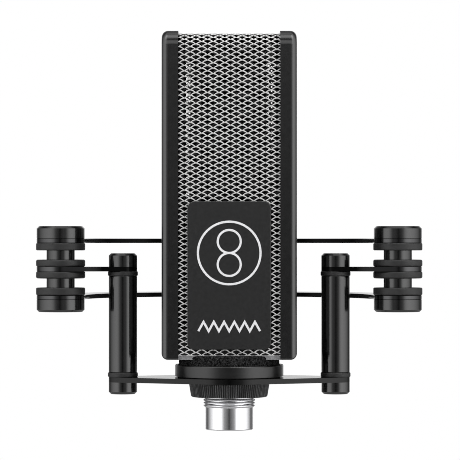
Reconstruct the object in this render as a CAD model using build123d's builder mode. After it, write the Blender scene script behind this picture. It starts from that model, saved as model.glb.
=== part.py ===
"""Ribbon microphone in a shock mount with a tilting stand adapter.

Frame: +Z up, +X to the right, -Y towards the front of the microphone.
Origin: the mouth of the stand thread, on its axis. All sizes are millimetres.
"""

from build123d import *
from math import cos, radians, sin
import os

os.makedirs("parts", exist_ok=True)

# ---------------------------------------------------------------- places
LINK_Z = 45.0  # mid-plane of the link arms, above the stand thread's mouth
MIC_Y = -95.0  # the microphone's axis stands this far in front of the stand
CLEARANCE = 0.05  # radial gap of a shaft that turns
GAP = 0.3  # gap between curved faces of pieces that move apart

# ---------------------------------------------------------------- spools and frame plates
SPOOL_X = 66.6
SPOOL_R = 9.5
RUBBER_R = 9.7
SPACER_R = 5.6
SPOOL_BOLT_R = 2.0
SPOOL_BOLT_HALF = 14.5
LINK_EYE_HOLE_R = 4.5
RUBBER_ROUND = 0.5
LINK_T = 1.8
DAMPING_RING_T = 2.8
SPACER_T = 3.65
OUTER_RING_T = 2.9
FRAME_T = 1.8
SPOOL_CAP_T = 4.85
CAP_CHAMFER = 0.9
PLATE_EDGE = 0.2
LINK_HALF = LINK_T / 2
SPACER_START = LINK_HALF + DAMPING_RING_T
OUTER_RING_START = SPACER_START + SPACER_T
FRAME_START = OUTER_RING_START + OUTER_RING_T
SPOOL_CAP_START = FRAME_START + FRAME_T
SPOOL_SIDES = [(-SPOOL_X, 0), (SPOOL_X, 0)]

# ---------------------------------------------------------------- posts and cradle bar
POST_X = 42.0
POST_R = 5.6
POST_WASHER_R = 5.9
POST_STUD_R = 2.5
POST_STUD_INSET = 1.8
POST_TOP_CAP_T = 5.3
POST_BOTTOM_CAP_T = 4.7
POST_WASHER_T = 1.8
POST_WASHER_ROUND = 0.4
POST_EDGE = 0.3
POST_SIDES = [(-POST_X, 0), (POST_X, 0)]
BAR_T = 2.0
BAR_CENTRE_R = 22.3
BAR_TOP = LINK_Z - 42.6
BAR_BOTTOM = BAR_TOP - BAR_T
TUBE_BOTTOM = BAR_TOP + POST_WASHER_T
TUBE_TOP = LINK_Z - LINK_HALF - POST_WASHER_T
BASE_RING_R = 21.4
BASE_RING_H = 5.0
BASE_RING_FOOT_R = 20.2
BASE_RING_FOOT_H = 0.4
BASE_RING_ROUND = 0.5

# ---------------------------------------------------------------- microphone body
BODY_W = 52.8
RAIL_W = 6.5
RAIL_DEPTH = 32.0
RAIL_BOTTOM = LINK_Z - 35.2
RAIL_H = 128.5
RAIL_TOP_R = 5.6
RAIL_EDGE_R = 2.5
RAIL_FOOT_R = 0.6
RAIL_X = BODY_W / 2 - RAIL_W
INNER_W = 2 * RAIL_X
GRILLE_DEPTH = 30.0
GRILLE_T = 0.9
GRILLE_R = 6.0
GRILLE_BOTTOM = LINK_Z - 33.5
GRILLE_TOP = LINK_Z + 92.3
SCREEN_GAP = 0.9
SCREEN_T = 0.4
BLOCK_DEPTH = 27.0
BLOCK_BOTTOM = LINK_Z - 35.3
BLOCK_TOP = LINK_Z - 25.3
CROSSBAR_DEPTH = 16.0
CROSSBAR_BOTTOM = LINK_Z + 82.0
CROSSBAR_TOP = LINK_Z + 88.0
RAIL_SCREW_R = 1.5
RAIL_SCREW_HEAD_R = 2.9
RAIL_SCREW_HEAD_H = 1.5
COUNTERSINK_TAPER = 42
RAIL_SCREW_L = 11.5
RAIL_SCREW_Y = 5.0
RAIL_SCREW_HEIGHTS = [(BLOCK_BOTTOM + BLOCK_TOP) / 2, (CROSSBAR_BOTTOM + CROSSBAR_TOP) / 2]

# ---------------------------------------------------------------- badge
BADGE_W = 32.6
BADGE_H = 57.7
BADGE_R = 2.8
BADGE_T = 1.0
BADGE_EDGE = 0.25
BADGE_Z = LINK_Z - 2.35
EMBLEM_Z = LINK_Z + 6.4
EMBLEM_R = 12.6
EMBLEM_LINE = 0.85
EMBLEM_LOOP_R = 4.9
EMBLEM_T = 0.2
WAVE_Z = LINK_Z - 22.2
WAVE_PITCH = 4.0
WAVE_H = 3.6
WAVE_COUNT = 6

# ---------------------------------------------------------------- neck, connector, ring nut, foam
NECK_R = 10.3
NECK_BOTTOM = LINK_Z - 54.2
NECK_THREAD_TOP = LINK_Z - 44.2
THREAD_PITCH = 1.0
THREAD_DEPTH = 0.5
THREAD_RELIEF = 0.3
TUBE_R = 9.5
TUBE_EDGE = 0.4
TUBE_MOUTH = LINK_Z - 63.3
XLR_BORE_R = 8.0
XLR_INSERT_BOTTOM = LINK_Z - 49.3
XLR_INSERT_TOP = LINK_Z - 42.3
WIRE_BORE_R = 7.0
SPIGOT_R = 9.0
SPIGOT_TOP = LINK_Z - 30.3
PIN_R = 1.2
PIN_CIRCLE_R = 4.0
PIN_TIP = TUBE_MOUTH + 2.3
PIN_CUP = XLR_INSERT_TOP + 3.0
PIN_ROUND = 0.7
PIN_ANGLES = [45, 135, 270]
NUT_TOP_R = 15.95
NUT_BOTTOM_R = 15.15
NUT_H = 5.8
NUT_ROUND = 0.6
FOAM_R = 19.9
FOAM_RECESS = 1.5
FOAM_ROUND = 0.8
FOAM_BOTTOM = BAR_TOP + BASE_RING_H - FOAM_RECESS
FOAM_LIP_TOP = LINK_Z - 33.7

# ---------------------------------------------------------------- ribbon motor
CHASSIS_Y = 4.0
CHASSIS_T = 2.0
CHASSIS_W = 28.0
FLANGE_T = 1.5
FLANGE_DEPTH = 8.0
FLANGE_WINDOW = (10.0, 3.4)
SLOT_L = 48.0
SLOT_W = 7.0
MOTOR_Z = LINK_Z + 46.0
POLE_GAP = 5.4
POLE_W = 4.0
POLE_DEPTH = 8.0
POLE_H = 60.0
POLE_TAPER = 1.6
MAGNET_W = 5.0
MAGNET_H = 56.0
RIBBON_W = 4.8
RIBBON_H = 62.0
RIBBON_T = 0.06
CORRUGATION_PITCH = 1.55
CORRUGATION_DEPTH = 0.7
CLAMP_W = 13.0
CLAMP_H = 4.0
CLAMP_T = 3.0
CLAMP_SCREW_R = 0.8
CLAMP_SCREW_X = 4.6
CLAMP_HEAD_H = 1.0
MOTOR_SCREW_R = 1.0
MOTOR_SCREW_X = POLE_GAP / 2 + POLE_W + MAGNET_W / 2
MOTOR_SCREW_Z = 22.0
MOTOR_HEAD_H = 1.2

# ---------------------------------------------------------------- transformer and circuit board
COIL_Z = LINK_Z - 8.5
CORE_W = 25.0
CORE_H = 21.0
CORE_DEPTH = 9.0
CORE_FRONT = -9.5
CORE_LEG = 6.0
WINDOW_W = 5.2
WINDOW_H = 14.0
COIL_OVERHANG = 3.0
COIL_ROUND = 2.0
BRACKET_T = 1.2
BOARD_Y = 8.0
BOARD_T = 1.6
BOARD_W = 28.0
BOARD_H = 40.0
BOARD_Z = LINK_Z - 2.0
STANDOFF_R = 2.0
STANDOFF_X = 11.5
STANDOFF_Z = 17.0
CAPACITOR = (7.0, 2.6, 5.0)
CAPACITOR_ROUND = 0.6
CAPACITOR_PITCH = 8.0
CAPACITOR_DROP = 9.0
TRANSISTOR_PITCH = 6.0
TRANSISTOR_RISE = 5.0
TRANSISTOR_R = 1.6
LEAD_R = 0.45
LEAD_RISE_Y = 7.1
LEAD_BEND = 2.0
PIN_LEAD_BEND = 1.0
LEAD_SIDE_X = 16.0

# ---------------------------------------------------------------- swivel and stand adapter
TILT_BOLT_R = 3.0
TONGUE_R = 9.0
TONGUE_HALF = 5.0
TILT_WASHER_T = 0.8
TILT_WASHER_R = 7.5
EAR_T = 4.2
EAR_START = TONGUE_HALF + TILT_WASHER_T
EAR_END = EAR_START + EAR_T
SWIVEL_W = 18.0
SWIVEL_DEPTH = 16.5
SWIVEL_ROUND = 2.0
SWIVEL_Y = 66.6
SWIVEL_SCREW_X = 5.0
SWIVEL_SCREW_R = 2.0
SWIVEL_SCREW_L = 6.0
SWIVEL_HEAD_R = 3.6
SWIVEL_HEAD_H = 2.2
SWIVEL_HEAD_ROUND = 0.7
SWIVEL_KEY_R = 1.5
SWIVEL_KEY_DEPTH = 1.4
SWIVEL_SPOTS = [(-SWIVEL_SCREW_X, SWIVEL_Y), (SWIVEL_SCREW_X, SWIVEL_Y)]
SOCKET_R = 11.0
SOCKET_TOP = LINK_Z - 17.0
SOCKET_CHAMFER = 1.0
SOCKET_EAR_ROOT = 2.0
BUSH_R = 8.0
BUSH_BORE_R = 4.76
BUSH_L = 14.0
BUSH_RELIEF = 0.5
THREAD_RUNOUT = 6.0
KNOB_R = 9.5
KNOB_HUB_R = 5.5
KNOB_HUB_L = 2.5
KNOB_L = 14.0
KNOB_START = EAR_END + CLEARANCE
KNOB_GRIPS = 6
KNOB_GRIP_R = 3.0
KNOB_BORE_DEPTH = 9.0
KNOB_ROUND = 1.0
BOLT_HEAD_R = 5.5
BOLT_HEAD_H = 4.0
BOLT_KEY_R = 2.3
BOLT_KEY_DEPTH = 2.4
BOLT_HEAD_EDGE = 0.6


def level(z):
    """Horizontal plane centred on the microphone's axis."""
    return Plane((0, MIC_Y, z))


def upright(x):
    """Plane facing +X through the microphone's axis, local x along +Y and local y along +Z."""
    return Plane((x, MIC_Y, 0), x_dir=(0, 1, 0), z_dir=(1, 0, 0))


def facing(y):
    """Plane facing the front, y from the microphone's axis, local x along +X and local y along +Z."""
    return Plane((0, MIC_Y + y, 0), x_dir=(1, 0, 0), z_dir=(0, -1, 0))


def tilt_plane(x):
    """Plane facing +X centred on the tilt axis, local x along +Y and local y along +Z."""
    return Plane((x, 0, LINK_Z), x_dir=(0, 1, 0), z_dir=(1, 0, 0))


MIC_AXIS = Axis((0, MIC_Y, 0), (0, 0, 1))


# ================================================================ yoke
def frame_plate(bottom):
    """Half ring that passes behind the microphone, with a round eye at each spool."""
    with BuildPart() as plate:
        with BuildSketch(level(bottom)):
            Circle(SPOOL_X + SPOOL_R)
            Circle(SPOOL_X - SPOOL_R, mode=Mode.SUBTRACT)
            Rectangle(3 * SPOOL_X, 2 * SPOOL_X, align=(Align.CENTER, Align.MAX), mode=Mode.SUBTRACT)
            with Locations(*SPOOL_SIDES):
                Circle(SPOOL_R)
                Circle(SPOOL_BOLT_R, mode=Mode.SUBTRACT)
            with Locations(*SWIVEL_SPOTS):
                Circle(SWIVEL_SCREW_R, mode=Mode.SUBTRACT)
        extrude(amount=FRAME_T)
        for face in (plate.faces().sort_by(Axis.Z)[0], plate.faces().sort_by(Axis.Z)[-1]):
            chamfer(face.outer_wire().edges(), PLATE_EDGE)
    return plate


upper_frame_plate = frame_plate(LINK_Z + FRAME_START)
upper_frame_plate.part.label = "upper_frame_plate"
export_step(upper_frame_plate.part, "parts/upper_frame_plate.step")

lower_frame_plate = frame_plate(LINK_Z - SPOOL_CAP_START)
lower_frame_plate.part.label = "lower_frame_plate"
export_step(lower_frame_plate.part, "parts/lower_frame_plate.step")

with BuildPart() as spool_caps:
    for side in (1, -1):
        with BuildSketch(level(LINK_Z + side * SPOOL_CAP_START)):
            with Locations(*SPOOL_SIDES):
                Circle(SPOOL_R)
        extrude(amount=side * SPOOL_CAP_T)
    for end in (0, -1):
        chamfer(spool_caps.edges().group_by(Axis.Z)[end], CAP_CHAMFER)
    with BuildSketch(level(LINK_Z)):
        with Locations(*SPOOL_SIDES):
            Circle(SPOOL_BOLT_R)
    extrude(amount=SPOOL_BOLT_HALF, both=True, mode=Mode.SUBTRACT)
spool_caps.part.label = "spool_caps"
export_step(spool_caps.part, "parts/spool_caps.step")

with BuildPart() as spool_spacers:
    for side in (1, -1):
        with BuildSketch(level(LINK_Z + side * SPACER_START)):
            with Locations(*SPOOL_SIDES):
                Circle(SPACER_R)
                Circle(SPOOL_BOLT_R, mode=Mode.SUBTRACT)
        extrude(amount=side * SPACER_T)
spool_spacers.part.label = "spool_spacers"
export_step(spool_spacers.part, "parts/spool_spacers.step")

with BuildPart() as outer_rubber_rings:
    for side in (1, -1):
        with BuildSketch(level(LINK_Z + side * OUTER_RING_START)):
            with Locations(*SPOOL_SIDES):
                Circle(RUBBER_R)
                Circle(SPOOL_BOLT_R, mode=Mode.SUBTRACT)
        extrude(amount=side * OUTER_RING_T)
    outer_rims = outer_rubber_rings.edges().filter_by(GeomType.CIRCLE)
    fillet(outer_rims.filter_by(lambda rim: rim.radius > SPACER_R), RUBBER_ROUND)
outer_rubber_rings.part.label = "outer_rubber_rings"
export_step(outer_rubber_rings.part, "parts/outer_rubber_rings.step")


def damping_rings(side):
    """Pair of rubber rings between the link arms and the spacers, above or below."""
    with BuildPart() as rings:
        with BuildSketch(level(LINK_Z + side * LINK_HALF)):
            with Locations(*SPOOL_SIDES):
                Circle(RUBBER_R)
                Circle(LINK_EYE_HOLE_R, mode=Mode.SUBTRACT)
        extrude(amount=side * DAMPING_RING_T)
        rims = rings.edges().filter_by(GeomType.CIRCLE)
        fillet(rims.filter_by(lambda rim: rim.radius > SPACER_R), RUBBER_ROUND)
    return rings


upper_damping_rings = damping_rings(1)
upper_damping_rings.part.label = "upper_damping_rings"
export_step(upper_damping_rings.part, "parts/upper_damping_rings.step")

lower_damping_rings = damping_rings(-1)
lower_damping_rings.part.label = "lower_damping_rings"
export_step(lower_damping_rings.part, "parts/lower_damping_rings.step")

with BuildPart() as spool_bolts:
    with BuildSketch(level(LINK_Z)):
        with Locations(*SPOOL_SIDES):
            Circle(SPOOL_BOLT_R)
    extrude(amount=SPOOL_BOLT_HALF, both=True)
spool_bolts.part.label = "spool_bolts"
export_step(spool_bolts.part, "parts/spool_bolts.step")

with BuildPart() as swivel_block:
    with BuildSketch(level(LINK_Z)):
        with Locations((0, SWIVEL_Y)):
            RectangleRounded(SWIVEL_W, SWIVEL_DEPTH, SWIVEL_ROUND)
    extrude(amount=FRAME_START, both=True)
    with BuildSketch(tilt_plane(0)):
        Circle(TONGUE_R)
        Rectangle(-MIC_Y - SWIVEL_Y, 2 * TONGUE_R, align=(Align.MAX, Align.CENTER))
    extrude(amount=TONGUE_HALF, both=True)
    with BuildSketch(tilt_plane(0)):
        Circle(TILT_BOLT_R + CLEARANCE)
    extrude(amount=SWIVEL_W, both=True, mode=Mode.SUBTRACT)
    for side in (1, -1):
        with BuildSketch(level(LINK_Z + side * (FRAME_START - SWIVEL_SCREW_L))):
            with Locations(*SWIVEL_SPOTS):
                Circle(SWIVEL_SCREW_R)
        extrude(amount=side * SWIVEL_SCREW_L, mode=Mode.SUBTRACT)
swivel_block.part.label = "swivel_block"
export_step(swivel_block.part, "parts/swivel_block.step")

with BuildPart() as swivel_screws:
    for side in (1, -1):
        with BuildSketch(level(LINK_Z + side * (FRAME_START - SWIVEL_SCREW_L))):
            with Locations(*SWIVEL_SPOTS):
                Circle(SWIVEL_SCREW_R)
        extrude(amount=side * (SWIVEL_SCREW_L + FRAME_T))
        with BuildSketch(level(LINK_Z + side * SPOOL_CAP_START)):
            with Locations(*SWIVEL_SPOTS):
                Circle(SWIVEL_HEAD_R)
        extrude(amount=side * SWIVEL_HEAD_H)
    for end in (0, -1):
        fillet(swivel_screws.edges().group_by(Axis.Z)[end], SWIVEL_HEAD_ROUND)
    for side in (1, -1):
        with BuildSketch(level(LINK_Z + side * (SPOOL_CAP_START + SWIVEL_HEAD_H))):
            with Locations(*SWIVEL_SPOTS):
                RegularPolygon(radius=SWIVEL_KEY_R, side_count=6)
        extrude(amount=-side * SWIVEL_KEY_DEPTH, mode=Mode.SUBTRACT)
swivel_screws.part.label = "swivel_screws"
export_step(swivel_screws.part, "parts/swivel_screws.step")

# ================================================================ stand adapter
with BuildPart() as stand_socket:
    with BuildSketch(Plane.XY):
        Circle(SOCKET_R)
    extrude(amount=SOCKET_TOP)
    chamfer(stand_socket.edges().group_by(Axis.Z)[0], SOCKET_CHAMFER)
    for side in (1, -1):
        with BuildSketch(tilt_plane(side * EAR_START)):
            Circle(TONGUE_R)
            Rectangle(2 * TONGUE_R, LINK_Z - SOCKET_TOP + SOCKET_EAR_ROOT, align=(Align.CENTER, Align.MAX))
        extrude(amount=side * EAR_T)
    with BuildSketch(tilt_plane(0)):
        Circle(TILT_BOLT_R)
    extrude(amount=2 * EAR_END, both=True, mode=Mode.SUBTRACT)
    with BuildSketch(Plane.XY):
        Circle(BUSH_R)
    extrude(amount=BUSH_L, mode=Mode.SUBTRACT)
    with BuildSketch(Plane.XY):
        Circle(BUSH_BORE_R + BUSH_RELIEF)
    extrude(amount=BUSH_L + THREAD_RUNOUT, mode=Mode.SUBTRACT)
stand_socket.part.label = "stand_socket"
export_step(stand_socket.part, "parts/stand_socket.step")

with BuildPart() as thread_bush:
    with BuildSketch(Plane.XY):
        Circle(BUSH_R)
        Circle(BUSH_BORE_R, mode=Mode.SUBTRACT)
    extrude(amount=BUSH_L)
thread_bush.part.label = "thread_bush"
export_step(thread_bush.part, "parts/thread_bush.step")

with BuildPart() as tilt_bolt:
    with BuildSketch(tilt_plane(-EAR_END)):
        Circle(TILT_BOLT_R)
    extrude(amount=EAR_END + KNOB_START + KNOB_BORE_DEPTH - GAP)
    with BuildSketch(tilt_plane(-EAR_END)):
        Circle(BOLT_HEAD_R)
    extrude(amount=-BOLT_HEAD_H)
    chamfer(tilt_bolt.edges().group_by(Axis.X)[0], BOLT_HEAD_EDGE)
    with BuildSketch(tilt_plane(-EAR_END - BOLT_HEAD_H)):
        RegularPolygon(radius=BOLT_KEY_R, side_count=6)
    extrude(amount=BOLT_KEY_DEPTH, mode=Mode.SUBTRACT)
tilt_bolt.part.label = "tilt_bolt"
export_step(tilt_bolt.part, "parts/tilt_bolt.step")

with BuildPart() as tilt_washers:
    for side in (1, -1):
        with BuildSketch(tilt_plane(side * TONGUE_HALF)):
            Circle(TILT_WASHER_R)
            Circle(TILT_BOLT_R, mode=Mode.SUBTRACT)
        extrude(amount=side * TILT_WASHER_T)
tilt_washers.part.label = "tilt_washers"
export_step(tilt_washers.part, "parts/tilt_washers.step")

with BuildPart() as clamp_knob:
    with BuildSketch(tilt_plane(KNOB_START)):
        Circle(KNOB_HUB_R)
    extrude(amount=KNOB_HUB_L)
    with BuildSketch(tilt_plane(KNOB_START + KNOB_HUB_L)):
        Circle(KNOB_R)
        with PolarLocations(KNOB_R + 0.55 * KNOB_GRIP_R, KNOB_GRIPS):
            Circle(KNOB_GRIP_R, mode=Mode.SUBTRACT)
    extrude(amount=KNOB_L - KNOB_HUB_L)
    fillet(clamp_knob.edges().group_by(Axis.X)[-1], KNOB_ROUND)
    with BuildSketch(tilt_plane(KNOB_START)):
        Circle(TILT_BOLT_R + CLEARANCE)
    extrude(amount=KNOB_BORE_DEPTH, mode=Mode.SUBTRACT)
clamp_knob.part.label = "clamp_knob"
export_step(clamp_knob.part, "parts/clamp_knob.step")

# ================================================================ cradle
with BuildPart() as cradle_bar:
    with BuildSketch(level(BAR_BOTTOM)):
        Circle(BAR_CENTRE_R)
        with Locations(*POST_SIDES):
            Circle(POST_R)
        make_hull()
        with Locations(*POST_SIDES):
            Circle(POST_STUD_R, mode=Mode.SUBTRACT)
        Circle(NECK_R + GAP, mode=Mode.SUBTRACT)
    extrude(amount=BAR_T)
cradle_bar.part.label = "cradle_bar"
export_step(cradle_bar.part, "parts/cradle_bar.step")

with BuildPart() as base_ring:
    with BuildSketch(level(BAR_TOP)):
        Circle(BASE_RING_FOOT_R)
    extrude(amount=BASE_RING_FOOT_H)
    with BuildSketch(level(BAR_TOP + BASE_RING_FOOT_H)):
        Circle(BASE_RING_R)
    extrude(amount=BASE_RING_H - BASE_RING_FOOT_H)
    fillet(base_ring.edges().group_by(Axis.Z)[-1], BASE_RING_ROUND)
    with BuildSketch(level(FOAM_BOTTOM)):
        Circle(FOAM_R + GAP)
    extrude(amount=2 * FOAM_RECESS, mode=Mode.SUBTRACT)
    with BuildSketch(level(BAR_TOP)):
        Circle(NECK_R + GAP)
    extrude(amount=BASE_RING_H, mode=Mode.SUBTRACT)
base_ring.part.label = "base_ring"
export_step(base_ring.part, "parts/base_ring.step")


def post_tube(side):
    """Hollow post that carries one link arm."""
    with BuildPart() as tube:
        with BuildSketch(level(TUBE_BOTTOM)):
            with Locations((side * POST_X, 0)):
                Circle(POST_R)
                Circle(POST_STUD_R, mode=Mode.SUBTRACT)
        extrude(amount=TUBE_TOP - TUBE_BOTTOM)
        rims = tube.edges().filter_by(GeomType.CIRCLE)
        fillet(rims.filter_by(lambda rim: rim.radius > POST_STUD_R), POST_EDGE)
    return tube


def link_arm(side):
    """Flat plate from a post top to the floating eye inside a spool."""
    with BuildPart() as arm:
        with BuildSketch(level(LINK_Z - LINK_HALF)):
            with Locations((side * SPOOL_X, 0)):
                Circle(SPOOL_R)
            with Locations((side * POST_X, 0)):
                Circle(POST_R)
            make_hull()
            with Locations((side * SPOOL_X, 0)):
                Circle(LINK_EYE_HOLE_R, mode=Mode.SUBTRACT)
            with Locations((side * POST_X, 0)):
                Circle(POST_STUD_R, mode=Mode.SUBTRACT)
        extrude(amount=LINK_T)
    return arm


for side, hand in ((-1, "left"), (1, "right")):
    tube = post_tube(side)
    tube.part.label = f"post_tube_{hand}"
    export_step(tube.part, f"parts/post_tube_{hand}.step")
    arm = link_arm(side)
    arm.part.label = f"link_arm_{hand}"
    export_step(arm.part, f"parts/link_arm_{hand}.step")


def post_caps(bottom, thickness, outer_end, stud_from, stud_to):
    """Pair of round nuts, chamfered at the outer end and bored for the studs."""
    with BuildPart() as caps:
        with BuildSketch(level(bottom)):
            with Locations(*POST_SIDES):
                Circle(POST_R)
        extrude(amount=thickness)
        chamfer(caps.edges().group_by(Axis.Z)[outer_end], CAP_CHAMFER)
        with BuildSketch(level(stud_from)):
            with Locations(*POST_SIDES):
                Circle(POST_STUD_R)
        extrude(amount=stud_to - stud_from, mode=Mode.SUBTRACT)
    return caps


TOP_CAP_Z = LINK_Z + LINK_HALF
BOTTOM_CAP_Z = BAR_BOTTOM - POST_BOTTOM_CAP_T
STUD_TOP = TOP_CAP_Z + POST_TOP_CAP_T - POST_STUD_INSET
STUD_BOTTOM = BOTTOM_CAP_Z + POST_STUD_INSET

post_top_caps = post_caps(TOP_CAP_Z, POST_TOP_CAP_T, -1, TOP_CAP_Z, STUD_TOP)
post_top_caps.part.label = "post_top_caps"
export_step(post_top_caps.part, "parts/post_top_caps.step")

post_bottom_caps = post_caps(BOTTOM_CAP_Z, POST_BOTTOM_CAP_T, 0, STUD_BOTTOM, BAR_BOTTOM)
post_bottom_caps.part.label = "post_bottom_caps"
export_step(post_bottom_caps.part, "parts/post_bottom_caps.step")

with BuildPart() as post_washers:
    for bottom in (BAR_TOP, TUBE_TOP):
        with BuildSketch(level(bottom)):
            with Locations(*POST_SIDES):
                Circle(POST_WASHER_R)
                Circle(POST_STUD_R, mode=Mode.SUBTRACT)
        extrude(amount=POST_WASHER_T)
    washer_rims = post_washers.edges().filter_by(GeomType.CIRCLE)
    fillet(washer_rims.filter_by(lambda rim: rim.radius > POST_R), POST_WASHER_ROUND)
post_washers.part.label = "post_washers"
export_step(post_washers.part, "parts/post_washers.step")

with BuildPart() as post_studs:
    with BuildSketch(level(STUD_BOTTOM)):
        with Locations(*POST_SIDES):
            Circle(POST_STUD_R)
    extrude(amount=STUD_TOP - STUD_BOTTOM)
post_studs.part.label = "post_studs"
export_step(post_studs.part, "parts/post_studs.step")

# ================================================================ microphone: shell and body
with BuildPart() as rail_screws:
    for side in (1, -1):
        outer = Plane((side * BODY_W / 2, MIC_Y, 0), x_dir=(0, 1, 0), z_dir=(-side, 0, 0))
        spots = []
        for height in RAIL_SCREW_HEIGHTS:
            spots.append((RAIL_SCREW_Y, side * -height))
            spots.append((-RAIL_SCREW_Y, side * -height))
        with BuildSketch(outer):
            with Locations(*spots):
                Circle(RAIL_SCREW_R)
        extrude(amount=RAIL_SCREW_L)
        with BuildSketch(outer):
            with Locations(*spots):
                Circle(RAIL_SCREW_HEAD_R)
        extrude(amount=RAIL_SCREW_HEAD_H, taper=COUNTERSINK_TAPER)
rail_screws.part.label = "rail_screws"
export_step(rail_screws.part, "parts/rail_screws.step")

with BuildPart() as side_rail_right:
    with BuildSketch(upright(RAIL_X)) as rail_outline:
        with Locations((0, RAIL_BOTTOM + RAIL_H / 2)):
            Rectangle(RAIL_DEPTH, RAIL_H)
        fillet(rail_outline.vertices().group_by(Axis.Y)[-1], RAIL_TOP_R)
    extrude(amount=RAIL_W)
    fillet(side_rail_right.faces().sort_by(Axis.X)[-1].edges(), RAIL_EDGE_R)
    foot_edges = side_rail_right.faces().sort_by(Axis.Z)[0].edges().filter_by(Axis.X)
    fillet(foot_edges, RAIL_FOOT_R)
    add(rail_screws.part, mode=Mode.SUBTRACT)
side_rail_right.part.label = "side_rail_right"
export_step(side_rail_right.part, "parts/side_rail_right.step")

with BuildPart() as side_rail_left:
    mirror(side_rail_right.part, about=Plane.YZ)
side_rail_left.part.label = "side_rail_left"
export_step(side_rail_left.part, "parts/side_rail_left.step")


def wrapped_sheet(inset, thickness, bottom):
    """Sheet between the rails that rises at the front, rolls over the top and falls at the back."""
    half = GRILLE_DEPTH / 2 - inset
    top = GRILLE_TOP - inset
    radius = GRILLE_R - inset
    with BuildPart() as sheet:
        with BuildSketch(upright(0)) as outline:
            with Locations((0, bottom)):
                Rectangle(2 * half, top - bottom, align=(Align.CENTER, Align.MIN))
            fillet(outline.vertices().group_by(Axis.Y)[-1], radius)
        extrude(amount=RAIL_X, both=True)
        with BuildSketch(upright(0)) as hollow:
            with Locations((0, bottom)):
                Rectangle(2 * (half - thickness), top - thickness - bottom, align=(Align.CENTER, Align.MIN))
            fillet(hollow.vertices().group_by(Axis.Y)[-1], radius - thickness)
        extrude(amount=RAIL_X, both=True, mode=Mode.SUBTRACT)
    return sheet


outer_grille = wrapped_sheet(0, GRILLE_T, GRILLE_BOTTOM)
outer_grille.part.label = "outer_grille"
export_step(outer_grille.part, "parts/outer_grille.step")

inner_screen = wrapped_sheet(GRILLE_T + SCREEN_GAP, SCREEN_T, BLOCK_TOP)
inner_screen.part.label = "inner_screen"
export_step(inner_screen.part, "parts/inner_screen.step")

with BuildPart() as base_block:
    with BuildSketch(level(BLOCK_BOTTOM)):
        Rectangle(INNER_W, BLOCK_DEPTH)
        Circle(SPIGOT_R, mode=Mode.SUBTRACT)
    extrude(amount=BLOCK_TOP - BLOCK_BOTTOM)
    add(rail_screws.part, mode=Mode.SUBTRACT)
base_block.part.label = "base_block"
export_step(base_block.part, "parts/base_block.step")

with BuildPart() as top_crossbar:
    with BuildSketch(level(CROSSBAR_BOTTOM)):
        Rectangle(INNER_W, CROSSBAR_DEPTH)
    extrude(amount=CROSSBAR_TOP - CROSSBAR_BOTTOM)
    add(rail_screws.part, mode=Mode.SUBTRACT)
top_crossbar.part.label = "top_crossbar"
export_step(top_crossbar.part, "parts/top_crossbar.step")

# ================================================================ microphone: badge
BADGE_BACK = -GRILLE_DEPTH / 2
BADGE_FRONT = BADGE_BACK - BADGE_T

with BuildPart() as badge_plate:
    with BuildSketch(facing(BADGE_BACK)):
        with Locations((0, BADGE_Z)):
            RectangleRounded(BADGE_W, BADGE_H, BADGE_R)
    extrude(amount=BADGE_T)
    fillet(badge_plate.edges().group_by(Axis.Y)[0], BADGE_EDGE)
badge_plate.part.label = "badge_plate"
export_step(badge_plate.part, "parts/badge_plate.step")


def wave_points():
    """Corners of the zigzag line under the emblem."""
    start = -WAVE_PITCH * WAVE_COUNT / 2
    return [
        (start + index * WAVE_PITCH / 2, WAVE_Z + (WAVE_H / 2 if index % 2 else -WAVE_H / 2))
        for index in range(2 * WAVE_COUNT + 1)
    ]


with BuildPart() as badge_emblem:
    with BuildSketch(facing(BADGE_FRONT)):
        with Locations((0, EMBLEM_Z)):
            Circle(EMBLEM_R)
            Circle(EMBLEM_R - EMBLEM_LINE, mode=Mode.SUBTRACT)
        with Locations((0, EMBLEM_Z + EMBLEM_LOOP_R - EMBLEM_LINE / 2)):
            Circle(EMBLEM_LOOP_R)
        with Locations((0, EMBLEM_Z - EMBLEM_LOOP_R + EMBLEM_LINE / 2)):
            Circle(EMBLEM_LOOP_R)
        with Locations(
            (0, EMBLEM_Z + EMBLEM_LOOP_R - EMBLEM_LINE / 2),
            (0, EMBLEM_Z - EMBLEM_LOOP_R + EMBLEM_LINE / 2),
        ):
            Circle(EMBLEM_LOOP_R - EMBLEM_LINE, mode=Mode.SUBTRACT)
    extrude(amount=EMBLEM_T)
    with BuildSketch(facing(BADGE_FRONT)):
        with BuildLine():
            wave = Polyline(*wave_points())
        trace(wave, line_width=EMBLEM_LINE)
    extrude(amount=EMBLEM_T)
badge_emblem.part.label = "badge_emblem"
export_step(badge_emblem.part, "parts/badge_emblem.step")

# ================================================================ microphone: neck and connector
def neck_outline():
    """Half section of the connector shell: tube, thread crests and spigot."""
    crests = int((NECK_THREAD_TOP - NECK_BOTTOM) / THREAD_PITCH)
    points = [(XLR_BORE_R, TUBE_MOUTH), (TUBE_R - TUBE_EDGE, TUBE_MOUTH), (TUBE_R, TUBE_MOUTH + TUBE_EDGE)]
    points.append((TUBE_R, NECK_BOTTOM - THREAD_RELIEF))
    for index in range(crests):
        foot = NECK_BOTTOM + index * THREAD_PITCH
        points.append((NECK_R - THREAD_DEPTH, foot))
        points.append((NECK_R, foot + 0.4 * THREAD_PITCH))
        points.append((NECK_R, foot + 0.6 * THREAD_PITCH))
    thread_end = NECK_BOTTOM + crests * THREAD_PITCH
    points.append((NECK_R - THREAD_DEPTH, thread_end))
    points.append((NECK_R, thread_end + 0.4 * THREAD_PITCH))
    points.append((NECK_R, BLOCK_BOTTOM))
    points.append((SPIGOT_R, BLOCK_BOTTOM))
    points.append((SPIGOT_R, SPIGOT_TOP))
    points.append((WIRE_BORE_R, SPIGOT_TOP))
    points.append((WIRE_BORE_R, XLR_INSERT_TOP))
    points.append((XLR_BORE_R, XLR_INSERT_TOP))
    return points


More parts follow.
